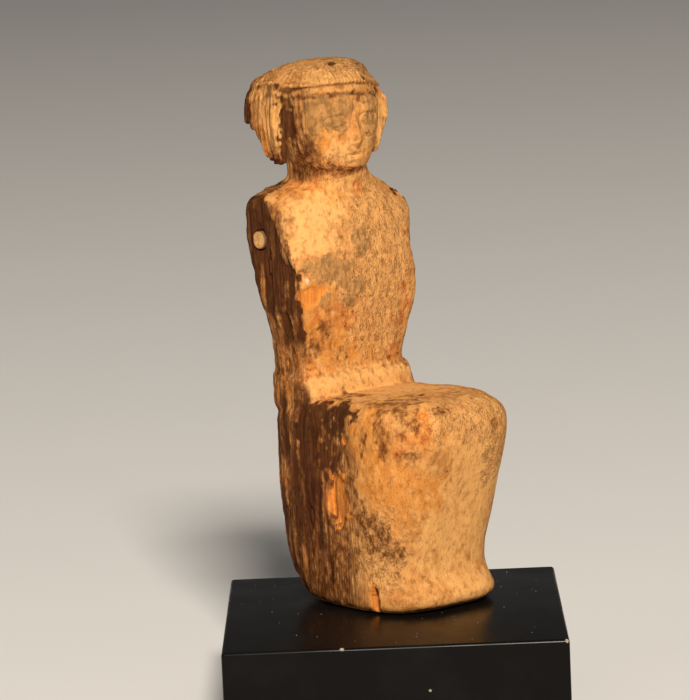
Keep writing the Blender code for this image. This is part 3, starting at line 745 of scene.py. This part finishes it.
def carve(mesh, look):
    """Turns the solid's even copy into the worn carving, and stores its finish and its painted groove shade
    on the points.
    """
    points = settled(to_figure(read_vectors(mesh.vertices, "co")), read_edges(mesh))
    write_points(mesh, to_row(points))
    normals = read_normals(mesh)
    part = zones(points, normals)
    masks = finish_masks(points, part)
    deep, groove_shade = crack_cuts(points)
    lift = np.zeros(len(points))
    for raised, grooves in (
        knife_and_weather(points, part, look), fringe_relief(points, part),
        strand_relief(points, part, look.strand_count), side_relief(points), kilt_relief(points, part),
    ):
        lift += raised
        groove_shade = np.maximum(groove_shade, grooves)
    for kind, mask in masks.items():
        lift += KINDS[kind]["proud"] * mask
    lift += 0.12 * masks["speckled"] * noise(points, 0.9, 96)

    # The cracks are cut last, after the face and the chips have found their places
    points = points + normals * lift[:, None]
    points[:, 1] -= FACE_STRENGTH * face_relief(points) * part["face"] * (1 - part["band"])
    points = gouged(points, normals) - normals * deep[:, None]

    # The foot's worn lower edge
    worn = 0.5 + 0.5 * rough(points, (2.6, 2.6, 3.0), 45)
    shrink = 1 - 0.035 * worn * (1 - ramp(points[:, 2], 0.2, 1.8)) * part["legs"]
    points[:, :2] *= shrink[:, None]
    points[:, 2] = np.clip(points[:, 2], 0, TOP)
    row = to_row(points)
    row[:, 1] = np.minimum(row[:, 1], CAD_BOX[1][1])
    write_points(mesh, row)
    # The groove shade is painted shade: how much the cracks, grooves, pits and edge lines are darkened
    store(mesh, "groove_shade", np.clip(groove_shade, 0, 1))
    streak = 0.12 + part["weather"] * (1 - 0.6 * part["hair"]) + 0.35 * part["hair"]
    store(mesh, "streak", np.clip(streak, 0, 1))
    for kind, mask in masks.items():
        store(mesh, kind, mask)


def part_between(mesh, name, low, high):
    """The part of the carving between two heights, closed where it was cut, shaded as the whole."""
    bm = bmesh.new()
    bm.from_mesh(mesh)
    low = low * MM + FOOT_HEIGHT
    high = high * MM + FOOT_HEIGHT
    gone = [face for face in bm.faces if not low <= face.calc_center_median().z < high]
    bmesh.ops.delete(bm, geom=gone, context="FACES")
    rims = [edge for edge in bm.edges if edge.is_boundary]
    for level in (low, high):
        rim = [edge for edge in rims if abs(edge.verts[0].co.z - level) < 0.002]
        if rim:
            corners = {corner for edge in rim for corner in edge.verts}
            middle = bm.verts.new(sum((corner.co for corner in corners), Vector()) / len(corners))
            for edge in rim:
                around = edge.link_loops[0]
                bm.faces.new((around.link_loop_next.vert, around.vert, middle))
    cut_part = mesh_from(bm, name)
    cut_part.shade_smooth()
    whole_normals = read_vectors(cut_part.attributes["whole_normal"].data, "vector")
    cut_part.normals_split_custom_set_from_vertices(whole_normals.tolist())
    cut_part.attributes.remove(cut_part.attributes["whole_normal"])
    return cut_part


# Materials


def fill_inputs(tree, node, inputs):
    """Gives each named input of a node its value, or links it to a socket."""
    for name, value in inputs.items():
        if isinstance(value, bpy.types.NodeSocket):
            tree.links.new(value, node.inputs[name])
        else:
            node.inputs[name].default_value = value
    return node


def add_node(tree, kind, inputs, **settings):
    """A node with its settings and its inputs."""
    made = tree.nodes.new(kind)
    for name, value in settings.items():
        setattr(made, name, value)
    return fill_inputs(tree, made, inputs)


def calc(tree, operation, first, second):
    """A sum on two values."""
    return add_node(tree, "ShaderNodeMath", {0: first, 1: second}, operation=operation).outputs[0]


def times(tree, first, second):
    """One value times another."""
    return calc(tree, "MULTIPLY", first, second)


def blend(tree, share, first, second):
    """A colour between two colours."""
    inputs = {0: share}
    for place, colour in ((6, first), (7, second)):
        inputs[place] = colour if isinstance(colour, bpy.types.NodeSocket) else (*colour, 1)
    return add_node(tree, "ShaderNodeMix", inputs, data_type="RGBA").outputs[2]


def shaded(colour, share):
    """A colour made darker."""
    return tuple(share * value for value in colour)


def remap(tree, value, low, high, to_low=0.0, to_high=1.0):
    """A value moved smoothly from one range to another."""
    inputs = {"Value": value, "From Min": low, "From Max": high, "To Min": to_low, "To Max": to_high}
    return add_node(tree, "ShaderNodeMapRange", inputs, interpolation_type="SMOOTHSTEP").outputs[0]


def texture_noise(tree, place, scale, detail):
    """Noise from 0 to 1 on coordinates in metres, scaled along each axis."""
    moved = add_node(tree, "ShaderNodeMapping", {"Vector": place, "Scale": scale}).outputs[0]
    inputs = {"Vector": moved, "Scale": 1.0, "Detail": detail}
    return add_node(tree, "ShaderNodeTexNoise", inputs).outputs[0]


def point_value(tree, name):
    """The value that the mesh keeps on its points under a name."""
    return add_node(tree, "ShaderNodeAttribute", {}, attribute_name=name).outputs["Fac"]


def relief(tree, height, strength, distance):
    """Normals for small heights."""
    inputs = {"Height": height, "Strength": strength, "Distance": distance}
    return add_node(tree, "ShaderNodeBump", inputs).outputs[0]


def new_group(name, inputs, outputs, kind="ShaderNodeTree"):
    """An empty node group with named sockets, and its input and output nodes."""
    group = bpy.data.node_groups.new(name, kind)
    for socket, socket_kind, value in inputs:
        made = group.interface.new_socket(name=socket, in_out="INPUT", socket_type=socket_kind)
        if value is not None:
            made.default_value = value
    for socket, socket_kind in outputs:
        group.interface.new_socket(name=socket, in_out="OUTPUT", socket_type=socket_kind)
    return group, group.nodes.new("NodeGroupInput").outputs, group.nodes.new("NodeGroupOutput")


def long_scale(tree, size, stretch):
    """The scale of a pattern of the given size that is drawn out along Z."""
    fine = calc(tree, "DIVIDE", 1.0, size)
    along = calc(tree, "DIVIDE", fine, stretch)
    return add_node(tree, "ShaderNodeCombineXYZ", {0: fine, 1: fine, 2: along}).outputs[0]


def wood_grain_group():
    """Grain along Z: fine dark lines."""
    if "Wood Grain" in bpy.data.node_groups:
        return bpy.data.node_groups["Wood Grain"]
    group, given, result = new_group(
        "Wood Grain",
        [("Place", "NodeSocketVector", None), ("Line Size", "NodeSocketFloat", 0.0007)],
        [("Lines", "NodeSocketFloat")],
    )
    lines = texture_noise(group, given["Place"], long_scale(group, given["Line Size"], 16.0), 4.0)
    fill_inputs(group, result, {"Lines": remap(group, lines, 0.36, 0.66)})
    return group


def ragged_group():
    """Turns a soft field into a patch with a ragged rim."""
    if "Ragged Patch" in bpy.data.node_groups:
        return bpy.data.node_groups["Ragged Patch"]
    group, given, result = new_group(
        "Ragged Patch",
        [("Field", "NodeSocketFloat", 0.0), ("Place", "NodeSocketVector", None),
         ("Raggedness", "NodeSocketFloat", 0.3), ("Softness", "NodeSocketFloat", 0.12)],
        [("Mask", "NodeSocketFloat")],
    )
    broad = texture_noise(group, given["Place"], (520, 520, 260), 5.0)
    fine = texture_noise(group, given["Place"], (1900, 1900, 900), 2.0)
    both = calc(group, "ADD", times(group, broad, 0.7), times(group, fine, 0.3))
    centred = times(group, calc(group, "SUBTRACT", both, 0.5), given["Raggedness"])
    moved = calc(group, "ADD", given["Field"], times(group, centred, 2.0))
    low = calc(group, "SUBTRACT", 0.5, given["Softness"])
    high = calc(group, "ADD", 0.5, given["Softness"])
    fill_inputs(group, result, {"Mask": remap(group, moved, low, high)})
    return group


def speckle_group():
    """Short dark strokes, such as dirt and wear leave in worn wood, and lighter flecks used as painted
    glints.
    """
    if "Speckle" in bpy.data.node_groups:
        return bpy.data.node_groups["Speckle"]
    group, given, result = new_group(
        "Speckle",
        [("Place", "NodeSocketVector", None), ("Size", "NodeSocketFloat", 0.0006)],
        [("Dark", "NodeSocketFloat"), ("Light", "NodeSocketFloat"), ("Height", "NodeSocketFloat")],
    )
    grit = texture_noise(group, given["Place"], long_scale(group, given["Size"], 1.7), 4.0)
    blotches = texture_noise(group, given["Place"], (800, 800, 500), 2.0)
    both = calc(group, "ADD", grit, times(group, calc(group, "SUBTRACT", blotches, 0.5), 0.45))
    dark = remap(group, both, 0.47, 0.34)
    fill_inputs(group, result, {"Dark": dark, "Light": remap(group, both, 0.54, 0.68), "Height": grit})
    return group


def new_material(name):
    """A material, its node tree, its shader and the place on the object."""
    made = bpy.data.materials.new(name)
    made.use_nodes = True
    tree = made.node_tree
    place = add_node(tree, "ShaderNodeTexCoord", {}).outputs["Object"]
    return made, tree, tree.nodes["Principled BSDF"], place


def use_group(tree, group, inputs):
    """The outputs of a group placed in a material with its own values."""
    made = tree.nodes.new("ShaderNodeGroup")
    made.node_tree = group
    return fill_inputs(tree, made, inputs).outputs


def carved_wood(look):
    """Old carved wood: grain, stain, patina, crust and bare wood, each where its points say, with painted
    shade in grooves, holes and on the sides and painted glints.
    """
    made, tree, shader, place = new_material("Carved Wood")
    grain = use_group(tree, wood_grain_group(), {"Place": place, "Line Size": 0.00055})["Lines"]
    speckle = use_group(tree, speckle_group(), {"Place": place, "Size": 0.00036})
    broad = texture_noise(tree, place, (260, 260, 170), 5.0)
    mottle = texture_noise(tree, place, (800, 800, 520), 5.0)
    blotches = texture_noise(tree, place, (360, 360, 280), 4.0)

    def share(kind, ragged, softness):
        inputs = {
            "Field": point_value(tree, kind), "Place": place, "Raggedness": ragged, "Softness": softness
        }
        return use_group(tree, ragged_group(), inputs)["Mask"]

    def layer(under, mask, strength, over):
        return blend(tree, times(tree, mask, strength), under, over)

    lines = times(tree, grain, point_value(tree, "streak"))
    bare, crust, dark = share("bare", 0.2, 0.18), share("crust", 0.3, 0.12), share("dark", 0.4, 0.3)
    speckled, brown = share("speckled", 0.6, 0.3), share("brown", 0.55, 0.35)
    dappled = remap(tree, mottle, 0.36, 0.64, 0.35, 1.0)

    colour = blend(tree, remap(tree, broad, 0.4, 0.6), look.wood, look.tan)
    colour = layer(colour, share("ochre", 0.7, 0.35), 0.85, look.ochre)
    colour = layer(colour, share("pale", 0.7, 0.35), 0.85, look.pale)
    colour = layer(colour, speckled, 0.75, look.speckled)
    colour = layer(colour, times(tree, share("red", 0.7, 0.3), dappled), 0.85, look.red)
    colour = layer(colour, remap(tree, blotches, 0.5, 0.68), 0.3, look.wood)
    colour = layer(colour, remap(tree, blotches, 0.48, 0.34), 0.35, look.pale)
    colour = layer(colour, remap(tree, mottle, 0.52, 0.66), 0.34, look.brown)
    colour = layer(colour, remap(tree, mottle, 0.46, 0.34), 0.35, look.pale)
    # Brown stain, with painted shade on the sides and the back, in holes and pits and under the band, the
    # jaw and the lock
    colour = layer(colour, times(tree, brown, dappled), 0.9, look.brown)
    earth = blend(tree, remap(tree, mottle, 0.35, 0.65), look.crust, shaded(look.speckled, 0.78))
    colour = layer(colour, crust, 0.9, earth)
    fresh = blend(tree, grain, look.bare, shaded(look.bare, 0.75))
    colour = blend(tree, bare, colour, fresh)
    # Dark patina, with painted shade in the holes, the notch and the recess by the lock, on the wig's back
    # and on the seat's right side
    colour = layer(colour, dark, remap(tree, grain, 0.0, 1.0, 0.88, 0.99), look.dark)

    # Strokes and specks lie over it all, fewer on fresh wood and on the crust
    fewer = calc(tree, "SUBTRACT", 1.0, times(tree, calc(tree, "MAXIMUM", bare, crust), 0.6))
    more = remap(tree, speckled, 0.0, 1.0, 0.14, 0.42)
    specks = times(tree, times(tree, speckle["Dark"], more), fewer)
    colour = blend(tree, specks, colour, look.grain)
    # Painted glints: lighter flecks where light would catch the grit, none on the dark patina
    glints = times(tree, speckle["Light"], calc(tree, "SUBTRACT", 1.0, dark))
    colour = layer(colour, glints, 0.3, look.pale)
    colour = layer(colour, times(tree, lines, fewer), 0.6, look.grain)
    # Painted shade in the cracks, grooves and pits and along the fringe's and the kilt's edges, in the
    # patina colour
    colour = layer(colour, times(tree, point_value(tree, "groove_shade"), fewer), 0.75, look.dark)
    colour = blend(tree, point_value(tree, "chalk"), colour, (0.55, 0.44, 0.32))

    dull = remap(tree, calc(tree, "MAXIMUM", crust, speckled), 0.0, 1.0, 0.7, 0.88)
    dull = calc(tree, "ADD", dull, times(tree, grain, 0.08))
    height = calc(tree, "SUBTRACT", times(tree, lines, -0.9), times(tree, specks, 0.8))
    grit = times(tree, speckle["Height"], remap(tree, speckled, 0.0, 1.0, 0.4, 1.7))
    height = calc(tree, "ADD", height, grit)
    fill_inputs(tree, shader, {
        "Base Color": colour, "Roughness": dull, "Specular IOR Level": 0.1,
        "Normal": relief(tree, height, 0.9, 0.0002),
    })
    return made


def peg_wood(look):
    """End grain of the arm's peg: pale, with fine pores and a darker rim."""
    made, tree, shader, place = new_material("Peg End Grain")
    speckle = use_group(tree, speckle_group(), {"Place": place, "Size": 0.0004})
    blotch = texture_noise(tree, place, (700, 700, 700), 3.0)
    colour = blend(tree, remap(tree, blotch, 0.35, 0.7, 0.0, 0.7), look.peg, shaded(look.peg, 0.62))
    colour = blend(tree, times(tree, speckle["Dark"], 0.5), colour, look.grain)
    colour = blend(tree, times(tree, point_value(tree, "rim"), 0.8), colour, look.dark)
    fill_inputs(tree, shader, {
        "Base Color": colour, "Roughness": 0.8, "Normal": relief(tree, speckle["Height"], 0.5, 0.0001),
    })
    return made


def black_lacquer(look):
    """Black lacquer, a little cloudy where hands have wiped it."""
    made, tree, shader, place = new_material("Black Lacquer")
    cloud = texture_noise(tree, place, (60, 60, 60), 4.0)
    scratch = texture_noise(tree, place, (90, 1400, 1400), 2.0)
    dusty = tuple(value + 0.006 for value in look.black)
    colour = blend(tree, remap(tree, cloud, 0.45, 0.75, 0.0, 0.4), look.black, dusty)
    dull = remap(tree, cloud, 0.3, 0.7, look.roughness, look.roughness + 0.12)
    dull = calc(tree, "ADD", dull, remap(tree, scratch, 0.6, 0.75, 0.0, 0.06))
    fill_inputs(tree, shader, {"Base Color": colour, "Roughness": dull, "Specular IOR Level": 0.08})
    return made


def chip_core(look):
    """What shows where the lacquer is chipped off."""
    made, tree, shader, place = new_material("Chipped Core")
    speckle = use_group(tree, speckle_group(), {"Place": place, "Size": 0.0003})
    colour = blend(tree, times(tree, speckle["Dark"], 0.6), look.chipped, shaded(look.chipped, 0.4))
    fill_inputs(tree, shader, {"Base Color": colour, "Roughness": 0.85})
    return made


def dust_material():
    """Grey and brown dust."""
    made, tree, shader, place = new_material("Dust")
    tint = texture_noise(tree, place, (900, 900, 900), 1.0)
    colour = blend(tree, remap(tree, tint, 0.4, 0.6), (0.5, 0.46, 0.4), (0.22, 0.19, 0.15))
    fill_inputs(tree, shader, {"Base Color": colour, "Roughness": 0.95})
    return made


def floor_material(look):
    """A plain pale floor."""
    made, tree, shader, place = new_material("Studio Floor")
    cloud = texture_noise(tree, place, (6, 6, 6), 2.0)
    colour = blend(tree, cloud, look.floor, shaded(look.floor, 0.97))
    fill_inputs(tree, shader, {"Base Color": colour, "Roughness": 0.9})
    return made


# Operators


class TOMB_OT_figurine(bpy.types.Operator):
    """Carve the worn wooden figurine over its solid."""

    bl_idname = "tomb.figurine"
    bl_label = "Make Figurine"

    def execute(self, context):
        look = context.scene.tomb_figurine
        mesh = evenly_meshed(solid_copy("figure", "carved_figurine"), look.mesh_size)
        carve(mesh, look)
        store(mesh, "whole_normal", read_vectors(mesh.vertex_normals, "vector"))
        wood = carved_wood(look)
        for name, low, high in (("skirt", -1, WAIST), ("torso", WAIST, NECK), ("head", NECK, TOP + 1)):
            piece = new_object("carved_" + name, part_between(mesh, "carved_" + name, low, high), wood)
            keep(piece, "figure")
        return {"FINISHED"}


class TOMB_OT_peg(bpy.types.Operator):
    """Make the worn end of the peg that held the right arm."""

    bl_idname = "tomb.peg"
    bl_label = "Make Arm Peg"

    def execute(self, context):
        look = context.scene.tomb_figurine
        mesh = evenly_meshed(solid_copy("right_shoulder_peg", "arm_peg"), PEG_MESH_SIZE)
        points = to_figure(read_vectors(mesh.vertices, "co"))
        points = soften(points, read_edges(mesh), np.ones(len(points)), 6)
        middle = np.array((0, PEG_BACK, PEG_HEIGHT))
        spread = points - middle
        around = np.hypot(spread[:, 1], spread[:, 2])
        squeeze = 1 + 0.05 * noise(points * (0.2, 1, 1), 2.2, 81)
        spread[:, 1] *= squeeze * PEG_SWELL_BACK
        spread[:, 2] *= squeeze * PEG_SWELL_UP
        worn = 0.12 * rough(points, 0.7, 84) - 0.1
        spread[:, 0] -= np.where(points[:, 0] < ARM_CUT_RIGHT + 1, worn, 0) * bump(around, 3.0)
        write_points(mesh, to_row(spread + middle))
        store(mesh, "rim", ramp(around, 1.65, 1.95))
        mesh.shade_smooth()
        piece = new_object("arm_peg", mesh, peg_wood(look))
        keep(piece, "right_shoulder_peg")
        return {"FINISHED"}


def chip_cutter(half):
    """Rough balls where the block's edges are chipped, and where they are."""
    bm = bmesh.new()
    spread = np.random.default_rng(91)
    places = []
    for (x, y, up), radius in CHIPS:
        centre = Vector((half.x * x, half.y * y, BLOCK_HIGH.z * up))
        places.append((centre, radius * MM))
        for vert in bmesh.ops.create_icosphere(bm, subdivisions=3, radius=radius * MM)["verts"]:
            vert.co *= spread.uniform(0.86, 1.06)
            vert.co += centre
    return new_object("chips", mesh_from(bm, "chips")), places


class TOMB_OT_block(bpy.types.Operator):
    """Make the black mounting block, its edges eased and chipped."""

    bl_idname = "tomb.block"
    bl_label = "Make Mounting Block"

    def execute(self, context):
        look = context.scene.tomb_block
        half = (BLOCK_HIGH - BLOCK_LOW) / 2
        middle = (BLOCK_HIGH + BLOCK_LOW) / 2
        bm = bmesh.new()
        bmesh.ops.create_cube(bm, size=2)
        bmesh.ops.transform(bm, matrix=Matrix.LocRotScale(middle, None, half), verts=bm.verts)
        bmesh.ops.bevel(bm, geom=bm.edges[:], offset=look.edge, segments=5, affect="EDGES", profile=0.5)
        block = new_object("display_block", mesh_from(bm, "display_block"))
        cutter, places = chip_cutter(half)
        cut = block.modifiers.new("Chips", "BOOLEAN")
        cut.operation = "DIFFERENCE"
        cut.solver = "EXACT"
        cut.object = cutter
        cut.use_self = True
        mesh = applied(block, "display_block")
        bpy.data.objects.remove(cutter)
        mesh.materials.clear()
        mesh.materials.append(black_lacquer(look))
        mesh.materials.append(chip_core(look))
        for face in mesh.polygons:
            face.material_index = int(any((face.center - at).length < 1.02 * reach for at, reach in places))
        mesh.shade_smooth()
        mesh.set_sharp_from_angle(angle=math.radians(34))
        keep(new_object("display_block", mesh), "mounting_block")
        return {"FINISHED"}


def dust_tree(look):
    """Scatters small flat specks over a face."""
    tree, given, result = new_group(
        "Dust Specks",
        [("Geometry", "NodeSocketGeometry", None), ("Count", "NodeSocketInt", look.specks),
         ("Speck Size", "NodeSocketFloat", look.speck_size), ("Seed", "NodeSocketInt", DUST_SEED)],
        [("Geometry", "NodeSocketGeometry")],
        "GeometryNodeTree",
    )

    def step(kind, inputs):
        return add_node(tree, kind, inputs).outputs[0]

    def random_vector(low, high):
        inputs = {"Min": low, "Max": high, "Seed": given["Seed"]}
        return add_node(tree, "FunctionNodeRandomValue", inputs, data_type="FLOAT_VECTOR").outputs[0]

    area = (BLOCK_HIGH.x - BLOCK_LOW.x) * (BLOCK_HIGH.y - BLOCK_LOW.y)
    density = calc(tree, "DIVIDE", given["Count"], area)
    places = step(
        "GeometryNodeDistributePointsOnFaces",
        {"Mesh": given["Geometry"], "Density": density, "Seed": given["Seed"]},
    )
    speck = step("GeometryNodeMeshIcoSphere", {"Radius": given["Speck Size"], "Subdivisions": 1})
    placed = step(
        "GeometryNodeInstanceOnPoints",
        {"Points": places, "Instance": speck, "Rotation": random_vector((0.0, 0.0, 0.0), (0.0, 0.0, 6.283)),
         "Scale": random_vector((0.5, 0.5, 0.4), (1.9, 1.5, 0.8))},
    )
    real = step("GeometryNodeRealizeInstances", {"Geometry": placed})
    finished = step("GeometryNodeSetMaterial", {"Geometry": real, "Material": dust_material()})
    fill_inputs(tree, result, {"Geometry": finished})
    return tree


class TOMB_OT_dust(bpy.types.Operator):
    """Scatter a few specks of dust on the block's top."""

    bl_idname = "tomb.dust"
    bl_label = "Make Dust"

    def execute(self, context):
        left, front = BLOCK_LOW.x + DUST_MARGIN, BLOCK_LOW.y + DUST_MARGIN
        right, back = BLOCK_HIGH.x - DUST_MARGIN, BLOCK_HIGH.y - DUST_MARGIN
        bm = bmesh.new()
        corners = ((left, front), (right, front), (right, back), (left, back))
        bm.faces.new([bm.verts.new((x, y, BLOCK_HIGH.z)) for x, y in corners])
        sheet = new_object("dust_sheet", mesh_from(bm, "dust"))
        specks = sheet.modifiers.new("Specks", "NODES")
        specks.node_group = dust_tree(context.scene.tomb_block)
        mesh = applied(sheet, "dust_specks")
        if not len(mesh.polygons):
            raise RuntimeError("no dust was made")
        mesh.shade_smooth()
        piece = new_object("dust_specks", mesh)
        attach(piece, "root")
        return {"FINISHED"}


def add_camera(look):
    """The camera at the photograph's height, side and tilt."""
    flat = math.cos(CAMERA_ELEVATION)
    back = Vector((
        math.sin(CAMERA_AZIMUTH) * flat, -math.cos(CAMERA_AZIMUTH) * flat, math.sin(CAMERA_ELEVATION)
    ))
    level = Vector((math.cos(CAMERA_AZIMUTH), math.sin(CAMERA_AZIMUTH), 0))
    across = back.cross(level)
    cosine, sine = math.cos(CAMERA_ROLL), math.sin(CAMERA_ROLL)
    right = cosine * level + sine * across
    up = cosine * across - sine * level
    lens = bpy.data.cameras.new("camera")
    lens.lens = look.lens
    lens.sensor_width = SENSOR_WIDTH
    lens.clip_start = 0.01
    camera = new_object("camera", lens)
    turn = Matrix((right, up, back)).transposed().to_4x4()
    camera.matrix_world = Matrix.Translation(CAMERA_AIM + back * CAMERA_DISTANCE) @ turn
    bpy.context.scene.camera = camera


def add_light(name, place, size, colour, power):
    """A square soft light aimed at the figurine."""
    lamp = bpy.data.lights.new(name, "AREA")
    lamp.size = size
    lamp.energy = power
    lamp.color = colour
    made = new_object(name, lamp)
    made.location = place
    made.rotation_euler = (LIGHT_AIM - Vector(place)).to_track_quat("-Z", "Y").to_euler()


class TOMB_OT_stage(bpy.types.Operator):
    """Set the pale floor, the soft light and the camera."""

    bl_idname = "tomb.stage"
    bl_label = "Set Stage"

    def execute(self, context):
        look = context.scene.tomb_stage
        bm = bmesh.new()
        bmesh.ops.create_grid(bm, x_segments=1, y_segments=1, size=FLOOR_HALF)
        new_object("floor", mesh_from(bm, "floor"), floor_material(look))
        add_light("key", *KEY_LIGHT, look.key_power)
        add_light("fill", *FILL_LIGHT, look.fill_power)
        world = bpy.data.worlds.new("Studio")
        context.scene.world = world
        world.use_nodes = True
        background = world.node_tree.nodes["Background"]
        fill_inputs(world.node_tree, background, {"Color": ROOM_COLOUR, "Strength": look.sky})
        add_camera(look)
        context.scene.view_settings.view_transform = "Standard"
        return {"FINISHED"}


class TOMB_PT_panel(bpy.types.Panel):
    """Lists the figurine's settings and the buttons that make its pieces."""

    bl_idname = "TOMB_PT_panel"
    bl_label = "Tomb Figurine"
    bl_space_type = "VIEW_3D"
    bl_region_type = "UI"
    bl_category = "Figurine"

    def draw(self, context):
        for title, settings, operators in PANEL_ROWS:
            box = self.layout.box()
            box.label(text=title)
            group = getattr(context.scene, settings)
            for name in group.__annotations__:
                box.prop(group, name)
            for operator in operators:
                box.operator(operator.bl_idname)


PANEL_ROWS = (
    ("Figurine", "tomb_figurine", (TOMB_OT_figurine, TOMB_OT_peg)),
    ("Block", "tomb_block", (TOMB_OT_block, TOMB_OT_dust)),
    ("Stage", "tomb_stage", (TOMB_OT_stage,)),
)
SETTINGS = {"tomb_figurine": FigurineSettings, "tomb_block": BlockSettings, "tomb_stage": StageSettings}
OPERATORS = (TOMB_OT_figurine, TOMB_OT_peg, TOMB_OT_block, TOMB_OT_dust, TOMB_OT_stage)


def register():
    """Registers the settings, the operators and the panel."""
    for kind in (*SETTINGS.values(), *OPERATORS, TOMB_PT_panel):
        bpy.utils.register_class(kind)
    for name, kind in SETTINGS.items():
        setattr(bpy.types.Scene, name, bpy.props.PointerProperty(type=kind))


def unregister():
    """Takes them away again."""
    for name in SETTINGS:
        delattr(bpy.types.Scene, name)
    for kind in reversed((*SETTINGS.values(), *OPERATORS, TOMB_PT_panel)):
        bpy.utils.unregister_class(kind)


def main():
    """Makes the stage and every piece."""
    register()
    bpy.ops.tomb.stage()
    bpy.ops.tomb.figurine()
    bpy.ops.tomb.peg()
    bpy.ops.tomb.block()
    bpy.ops.tomb.dust()


if __name__ == "__main__":
    main()
